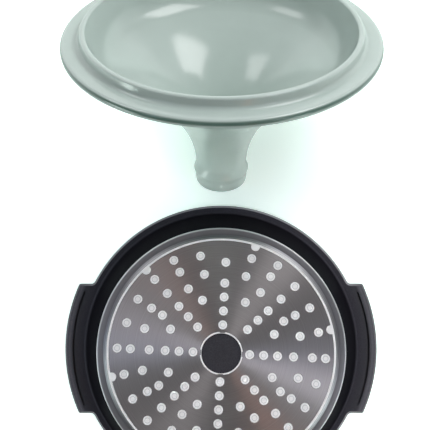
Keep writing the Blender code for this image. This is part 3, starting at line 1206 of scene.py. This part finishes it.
@dataclass
class Studio:
    """The white table, the pale room and its lamps."""

    table_size: float = 60.0
    table_colour: str = "F4F7F6"
    table_lift: float = 0.9
    # the colour of the painted green shadow on the table near the lid
    painted_shadow_tint: str = "E4FFF4"
    shade_centre: Point2 = (0.04, 0.06)
    shade_reach: float = 0.15
    shade_depth: float = 0.61
    far_reach: float = 0.7
    ceiling: float = 0.7
    axis_dim: float = 0.25
    corner: float = 0.08
    overhead: float = 0.19
    table_depth: float = 0.0004
    table_roughness: float = 0.9
    table_gloss: float = 0.1
    room_colour: str = "FCFDFF"
    wall_way: tuple[float, float, float] = (0.0, 0.94, 0.34)
    wall_full: float = 0.85
    mouth_way: tuple[float, float, float] = (0.0, 0.78, 0.63)
    mouth_span: Point2 = (0.72, 0.98)
    overhead_span: Point2 = (0.86, 0.97)
    strip_span: Point2 = (0.06, 0.12)
    lamps: tuple[Softbox, ...] = (
        Softbox("window_right", (0.99, 1.357, 1.324), LID_MIDDLE, 0.93, 1.05, 6.4),
        Softbox("window_left", (-1.26, 1.207, 1.084), LID_MIDDLE, 0.63, 0.75, 3.7),
        Softbox("bounce_right", (1.9, 1.2, 0.5), LID_MIDDLE, 1.6, 0.8, 0.6),
        Softbox("strip_left", (-1.0, -0.22, 1.05), PLATE_MIDDLE, 0.22, 0.5, 0.2, "D2E2FF", 24.0),
        Softbox("strip_right", (0.91, -0.54, 1.05), PLATE_MIDDLE, 0.22, 0.5, 0.39, "F6F5FF", 24.0),
        Softbox("warm_card", (0.5, -0.98, 1.05), PLATE_MIDDLE, 0.08, 0.4, 0.25, "FFB48C", 24.0),
        Softbox("low_left", (-1.2, -0.5, 0.2), BEFORE_LID, 0.5, 0.3, 9.0, "EEFFF8"),
        Softbox("low_right", (0.95, -0.77, 0.4), BEFORE_LID, 0.46, 0.3, 8.0, "EEFFF8"),
        Softbox("front_snoot", (0.0, -1.2, 0.45), BEFORE_LID, 0.3, 0.1, 0.34, "EAFFF5", 9.0),
    )

    def table(self) -> Piece:
        """Lay the white table, which keeps the shadow.

        Returns:
            The table's object.
        """
        bpy.ops.object.select_all(action="DESELECT")
        bpy.ops.mesh.primitive_plane_add(size=self.table_size, location=(0, 0, -self.table_depth))
        item = bpy.context.active_object
        item.name = "white_table"
        material, shader = fresh_material("white_table_top")
        tree = material.node_tree
        # the lift fades by the knob, so that the lid's own shadow stays there, and this dimmer
        # lift is also a painted shadow
        place = add_node(tree, "TexCoord").outputs["Object"]
        away = add_node(tree, "VectorMath", {
            "operation": "DISTANCE", 1: (*self.shade_centre, 0.0)}, {0: place}).outputs["Value"]
        lifts = (self.table_lift * (1 - self.shade_depth), self.table_lift)
        fade = add_node(tree, "MapRange", {
            "interpolation_type": "SMOOTHSTEP",
            **dict(zip(SPAN, (0.0, self.shade_reach, *lifts)))}, {"Value": away})
        lift = add_node(tree, "Math", {"operation": "MULTIPLY"}, {0: seen_rays(tree), 1: fade})
        # the lift is painted faintly green by the lid, a painted green shadow, and plain white
        # farther out
        far = add_node(tree, "MapRange", dict(zip(SPAN, (self.shade_reach, self.far_reach))),
                       {"Value": away})
        tint = add_node(tree, "Mix", {
            "data_type": "RGBA", 6: linear(self.painted_shadow_tint), 7: linear("FFFFFF")}, {0: far})
        feed(tree, shader, {"Base Color": linear(self.table_colour),
                            "Roughness": self.table_roughness,
                            "Specular IOR Level": self.table_gloss},
             {"Emission Color": tint.outputs[2], "Emission Strength": lift})
        item.data.materials.append(material)
        return item

    def room(self) -> None:
        """Make the room: bright behind the lid, dim in front and where the mouth looks."""
        world = bpy.data.worlds.new("pale_room")
        bpy.context.scene.world = world
        world.use_nodes = True
        tree = world.node_tree
        tree.nodes.clear()
        place = add_node(tree, "TexCoord").outputs["Generated"]
        facing, mouth = (
            add_node(tree, "VectorMath", {"operation": "DOT_PRODUCT", 1: way},
                     {0: place}).outputs["Value"]
            for way in (self.wall_way, self.mouth_way))
        up = add_node(tree, "SeparateXYZ", None, {"Vector": place}).outputs["Z"]
        levels = (
            (facing, 0.0, self.wall_full, self.corner, self.ceiling),
            (mouth, *self.mouth_span, 1.0, self.axis_dim),
            (up, *self.overhead_span, 0.0, self.overhead),
            # the white table runs on into a white strip low on the walls
            (up, *self.strip_span, 1.0, 0.0))
        level, dim, patch, strip = (
            add_node(tree, "MapRange", dict(zip(SPAN, span)), {"Value": value})
            for value, *span in levels)
        strip = add_node(tree, "Math", {"operation": "MULTIPLY"}, {0: seen_rays(tree), 1: strip})
        for operation, other in (("MULTIPLY", dim), ("MAXIMUM", patch), ("MAXIMUM", strip)):
            level = add_node(tree, "Math", {"operation": operation}, {0: level, 1: other})
        glow = add_node(tree, "Background", {"Color": linear(self.room_colour)},
                        {"Strength": level})
        add_node(tree, "OutputWorld", None, {"Surface": glow})

    def build(self) -> None:
        """Set up the table, the room and the lamps."""
        self.table()
        self.room()
        for lamp in self.lamps:
            lamp.build()


@dataclass
class Viewpoint:
    """The photograph's camera, nearly straight above the layout."""

    place: tuple[float, float, float] = (-0.0058, -0.0162, 0.9928)
    lean_degrees: float = 1.74
    lens: float = 85.4
    sensor: float = 36.0

    def build(self) -> Piece:
        """Set up the camera.

        Returns:
            The camera's object.
        """
        camera = bpy.data.cameras.new("photograph_camera")
        camera.lens = self.lens
        camera.sensor_width = self.sensor
        item = bpy.data.objects.new("photograph_camera", camera)
        item.location = self.place
        item.rotation_euler = (math.radians(self.lean_degrees), 0.0, 0.0)
        bpy.context.scene.collection.objects.link(item)
        bpy.context.scene.camera = item
        return item


def main() -> None:
    """Build the tagine and its studio, and log each piece's face count."""
    logging.basicConfig(level=logging.INFO, format="%(name)s: %(message)s")
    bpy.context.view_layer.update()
    bpy.context.scene.view_settings.view_transform = "Standard"
    Viewpoint().build()
    pan = Pan()
    for piece in (Lid().build(), pan.build_casting(), pan.build_plate()):
        log.info("%s: %d faces", piece.name, len(piece.data.polygons))
    Studio().build()


if __name__ == "__main__":
    main()
